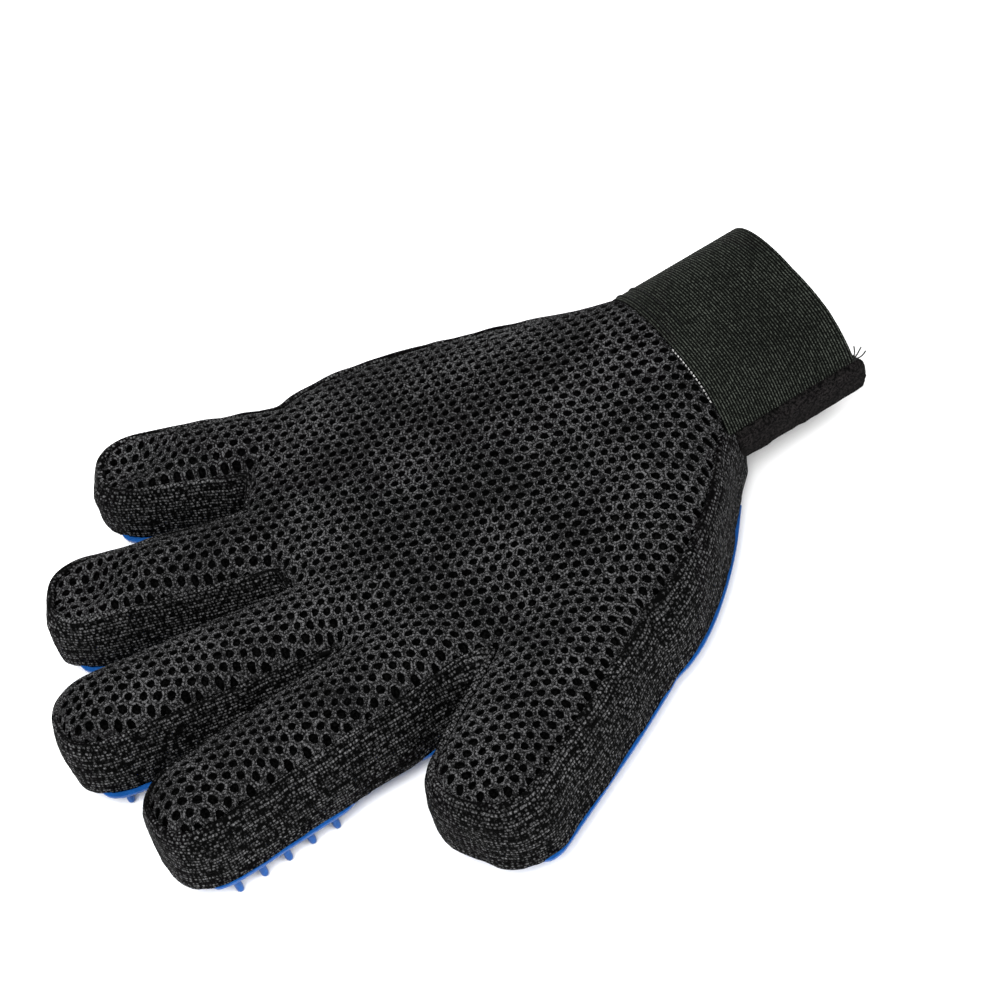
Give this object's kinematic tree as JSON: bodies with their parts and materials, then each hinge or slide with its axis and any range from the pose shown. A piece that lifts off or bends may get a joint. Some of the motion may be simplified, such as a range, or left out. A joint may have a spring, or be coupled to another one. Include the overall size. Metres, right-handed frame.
{
  "type": "grooming glove",
  "caption": "Five-finger pet grooming glove for the right hand: mesh back, knit side strips, rubber palm with rounded pins, and an elastic wrist strap with a hook-and-loop end.",
  "frame": {"origin": "on the floor, under the middle of the glove's bounding box, with the glove lying palm down on its pins", "axes": "+X towards the little finger, +Y from the cuff to the fingertips, +Z out of the back of the hand"},
  "size_m": [0.179, 0.2272, 0.0415],
  "materials": {
    "air_mesh": "matte black honeycomb air mesh",
    "rib_knit": "matte black rib knit",
    "palm_fabric": "matte black knit",
    "blue_rubber": "satin blue moulded rubber",
    "elastic_webbing": "matte woven elastic",
    "hook_tape": "stiff hook tape",
    "loop_felt": "matte charcoal loop pile",
    "sewing_thread": "polyester thread"
  },
  "bodies": {
    "palm": {"back_panel": "air_mesh", "thumb_side_gusset": "rib_knit", "little_side_gusset": "rib_knit", "thumb_index_web": "rib_knit", "index_middle_web": "rib_knit", "middle_ring_web": "rib_knit", "ring_little_web": "rib_knit", "palm_liner": "palm_fabric", "palm_pad": "blue_rubber", "elastic_band": "elastic_webbing", "loop_band": "loop_felt", "band_joint": "palm_fabric", "band_stitching": "sewing_thread"},
    "thumb_lower": {"thumb_lower_back": "air_mesh", "thumb_lower_gusset": "rib_knit", "thumb_lower_liner": "palm_fabric", "thumb_lower_pad": "blue_rubber"},
    "thumb_upper": {"thumb_upper_back": "air_mesh", "thumb_upper_gusset": "rib_knit", "thumb_upper_liner": "palm_fabric", "thumb_upper_pad": "blue_rubber"},
    "index_lower": {"index_lower_back": "air_mesh", "index_lower_gusset": "rib_knit", "index_lower_liner": "palm_fabric", "index_lower_pad": "blue_rubber"},
    "index_upper": {"index_upper_back": "air_mesh", "index_upper_gusset": "rib_knit", "index_upper_liner": "palm_fabric", "index_upper_pad": "blue_rubber"},
    "middle_lower": {"middle_lower_back": "air_mesh", "middle_lower_gusset": "rib_knit", "middle_lower_liner": "palm_fabric", "middle_lower_pad": "blue_rubber"},
    "middle_upper": {"middle_upper_back": "air_mesh", "middle_upper_gusset": "rib_knit", "middle_upper_liner": "palm_fabric", "middle_upper_pad": "blue_rubber"},
    "ring_lower": {"ring_lower_back": "air_mesh", "ring_lower_gusset": "rib_knit", "ring_lower_liner": "palm_fabric", "ring_lower_pad": "blue_rubber"},
    "ring_upper": {"ring_upper_back": "air_mesh", "ring_upper_gusset": "rib_knit", "ring_upper_liner": "palm_fabric", "ring_upper_pad": "blue_rubber"},
    "little_lower": {"little_lower_back": "air_mesh", "little_lower_gusset": "rib_knit", "little_lower_liner": "palm_fabric", "little_lower_pad": "blue_rubber"},
    "little_upper": {"little_upper_back": "air_mesh", "little_upper_gusset": "rib_knit", "little_upper_liner": "palm_fabric", "little_upper_pad": "blue_rubber"},
    "strap_end": {"elastic_flap": "elastic_webbing", "hook_patch": "hook_tape"}
  },
  "joints": [
    {"name": "thumb_knuckle", "type": "hinge", "parent": "palm", "child": "thumb_lower", "pos_m": [-0.0585, 0.002, 0.0068], "axis": [-0.866, -0.5, 0], "range_deg": [-10, 60], "stiffness_Nm_per_rad": 0.06},
    {"name": "thumb_middle", "type": "hinge", "parent": "thumb_lower", "child": "thumb_upper", "pos_m": [-0.0696, 0.02122, 0.0068], "axis": [-0.866, -0.5, 0], "range_deg": [-10, 60], "stiffness_Nm_per_rad": 0.06},
    {"name": "index_knuckle", "type": "hinge", "parent": "palm", "child": "index_lower", "pos_m": [-0.03076, 0.04332, 0.0068], "axis": [-0.9986, -0.0523, 0], "range_deg": [-10, 75], "stiffness_Nm_per_rad": 0.06},
    {"name": "index_middle", "type": "hinge", "parent": "index_lower", "child": "index_upper", "pos_m": [-0.03231, 0.07288, 0.0068], "axis": [-0.9986, -0.0523, 0], "range_deg": [-10, 75], "stiffness_Nm_per_rad": 0.06},
    {"name": "middle_knuckle", "type": "hinge", "parent": "palm", "child": "middle_lower", "pos_m": [-0.00293, 0.04788, 0.0068], "axis": [-0.9781, 0.2079, 0], "range_deg": [-10, 75], "stiffness_Nm_per_rad": 0.06},
    {"name": "middle_middle", "type": "hinge", "parent": "middle_lower", "child": "middle_upper", "pos_m": [0.00323, 0.07683, 0.0068], "axis": [-0.9781, 0.2079, 0], "range_deg": [-10, 75], "stiffness_Nm_per_rad": 0.06},
    {"name": "ring_knuckle", "type": "hinge", "parent": "palm", "child": "ring_lower", "pos_m": [0.02837, 0.03983, 0.0068], "axis": [-0.9272, 0.3746, 0], "range_deg": [-10, 75], "stiffness_Nm_per_rad": 0.06},
    {"name": "ring_middle", "type": "hinge", "parent": "ring_lower", "child": "ring_upper", "pos_m": [0.03946, 0.06727, 0.0068], "axis": [-0.9272, 0.3746, 0], "range_deg": [-10, 75], "stiffness_Nm_per_rad": 0.06},
    {"name": "little_knuckle", "type": "hinge", "parent": "palm", "child": "little_lower", "pos_m": [0.0585, 0.02095, 0.0068], "axis": [-0.866, 0.5, 0], "range_deg": [-10, 75], "stiffness_Nm_per_rad": 0.06},
    {"name": "little_middle", "type": "hinge", "parent": "little_lower", "child": "little_upper", "pos_m": [0.0696, 0.04017, 0.0068], "axis": [-0.866, 0.5, 0], "range_deg": [-10, 75], "stiffness_Nm_per_rad": 0.06},
    {"name": "strap_peel", "type": "hinge", "parent": "palm", "child": "strap_end", "pos_m": [0.00322, -0.09364, 0.04067], "axis": [0, 1, 0], "range_deg": [0, 120], "stiffness_Nm_per_rad": 0.01}
  ]
}
